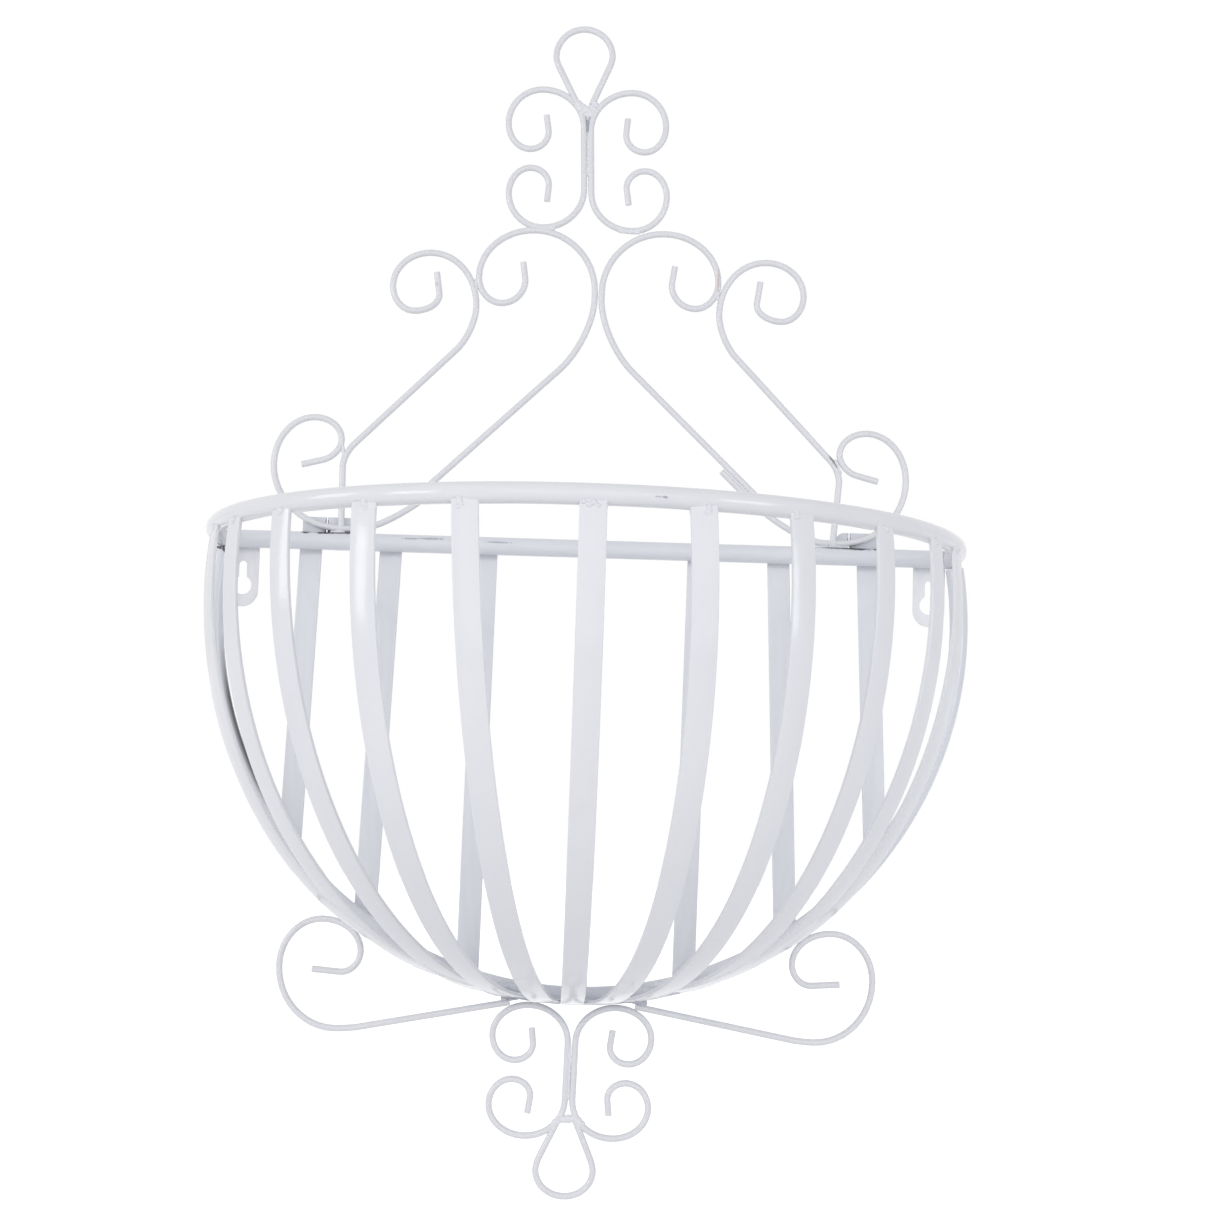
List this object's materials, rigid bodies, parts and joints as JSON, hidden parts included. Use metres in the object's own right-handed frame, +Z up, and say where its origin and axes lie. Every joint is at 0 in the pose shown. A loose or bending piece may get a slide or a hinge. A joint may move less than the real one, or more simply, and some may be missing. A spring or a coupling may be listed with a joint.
{
  "type": "wall planter",
  "caption": "Half-round wall planter basket of painted steel, with a bowl of flat curved ribs below a round rim, a slatted back, bent wire scrolls above and below, and two keyhole tabs.",
  "frame": {"origin": "on the back of the middle slat, in the plane of the wall, level with the axis of the bar", "axes": "+Z up, +Y into the wall, +X to the right for a person who faces the wall"},
  "size_m": [0.4086, 0.2097, 0.6367],
  "materials": {
    "tube_coat": "glossy white powder coat on round tube",
    "strip_coat": "glossy white powder coat on flat strip",
    "wire_coat": "glossy white powder coat on bent wire",
    "plate_coat": "glossy white powder coat on cut plate"
  },
  "bodies": {
    "root": {"rim_hoop": "tube_coat", "back_bar": "tube_coat", "back_hoop": "tube_coat", "rib_centre": "strip_coat", "rib_left_1": "strip_coat", "rib_left_2": "strip_coat", "rib_left_3": "strip_coat", "rib_left_4": "strip_coat", "rib_left_5": "strip_coat", "rib_right_1": "strip_coat", "rib_right_2": "strip_coat", "rib_right_3": "strip_coat", "rib_right_4": "strip_coat", "rib_right_5": "strip_coat", "slat_left_3": "strip_coat", "slat_left_2": "strip_coat", "slat_left_1": "strip_coat", "slat_centre": "strip_coat", "slat_right_1": "strip_coat", "slat_right_2": "strip_coat", "slat_right_3": "strip_coat", "hanging_tab_left": "plate_coat", "inner_plate_left": "plate_coat", "outer_plate_left": "plate_coat", "hanging_tab_right": "plate_coat", "inner_plate_right": "plate_coat", "outer_plate_right": "plate_coat", "inner_rod_left": "wire_coat", "outer_rod_left": "wire_coat", "side_scroll_left": "wire_coat", "inner_rod_right": "wire_coat", "outer_rod_right": "wire_coat", "side_scroll_right": "wire_coat", "finial_scroll_left": "wire_coat", "finial_scroll_right": "wire_coat", "finial_loop": "wire_coat", "drop_scroll_left": "wire_coat", "drop_scroll_right": "wire_coat", "drop_loop": "wire_coat", "base_scroll_left": "wire_coat", "base_scroll_right": "wire_coat"}
  },
  "joints": []
}
